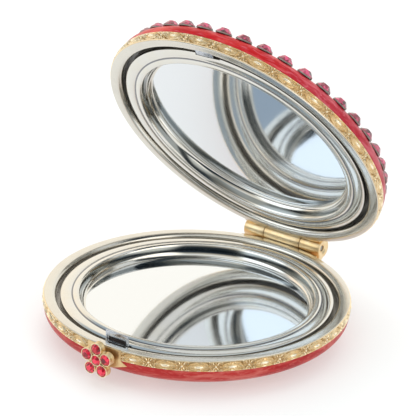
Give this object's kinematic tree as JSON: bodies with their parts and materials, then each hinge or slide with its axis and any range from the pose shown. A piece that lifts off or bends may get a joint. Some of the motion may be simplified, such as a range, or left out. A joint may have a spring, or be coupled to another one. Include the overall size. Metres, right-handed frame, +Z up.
{
  "type": "compact mirror",
  "caption": "Round enamelled compact mirror with a hinged lid ringed with red stones, gold ornamental bands, mirrors in both halves and a flower push button.",
  "frame": {"origin": "middle of the flat underside", "axes": "+Z up, +Y from the push button to the hinge, +X along the hinge to the right seen from the front"},
  "size_m": [0.071, 0.0794, 0.0725],
  "materials": {
    "polished_nickel": "nickel plated zinc casting, polished",
    "pressed_nickel": "nickel plated pressing, bright",
    "red_enamel": "glossy marbled enamel",
    "lid_red_enamel": "glossy marbled enamel",
    "cast_gold": "gold plated casting with dark recesses",
    "hinge_gold": "gold plated, satin",
    "mirror_glass": "silvered glass",
    "pad_card": "grey card",
    "ruby_glass": "faceted red glass",
    "lid_ruby_glass": "faceted dark pink glass",
    "steel": "plain steel",
    "catch_nickel": "nickel plated sheet"
  },
  "bodies": {
    "base": {"base_shell": "polished_nickel", "base_enamel": "red_enamel", "base_band": "cast_gold", "base_mirror_frame": "pressed_nickel", "base_mirror": "mirror_glass", "base_mirror_pad": "pad_card", "base_hinge_leaf": "hinge_gold", "hinge_pin": "steel", "button_plate": "cast_gold", "catch_spring": "steel", "spring_seat": "steel"},
    "lid": {"lid_shell": "polished_nickel", "lid_enamel": "lid_red_enamel", "lid_band": "cast_gold", "lid_mirror_frame": "pressed_nickel", "lid_mirror": "mirror_glass", "lid_mirror_pad": "pad_card", "lid_hinge_leaf": "hinge_gold", "lid_catch": "catch_nickel", "stone_cups": "pressed_nickel", "lid_stones": "lid_ruby_glass"},
    "button": {"flower_button": "cast_gold", "flower_stones": "ruby_glass", "button_stem": "steel", "catch_tongue": "catch_nickel"}
  },
  "joints": [
    {"name": "lid_hinge", "type": "hinge", "parent": "base", "child": "lid", "pos_m": [0, 0.037, 0.0099], "axis": [-1, 0, 0], "range_deg": [-56, 64]},
    {"name": "button_press", "type": "slide", "parent": "base", "child": "button", "axis": [0, 1, 0], "range_m": [0, 0.0006], "stiffness_N_per_m": 600, "springref_m": -0.0015, "deforming": ["catch_spring"]}
  ]
}
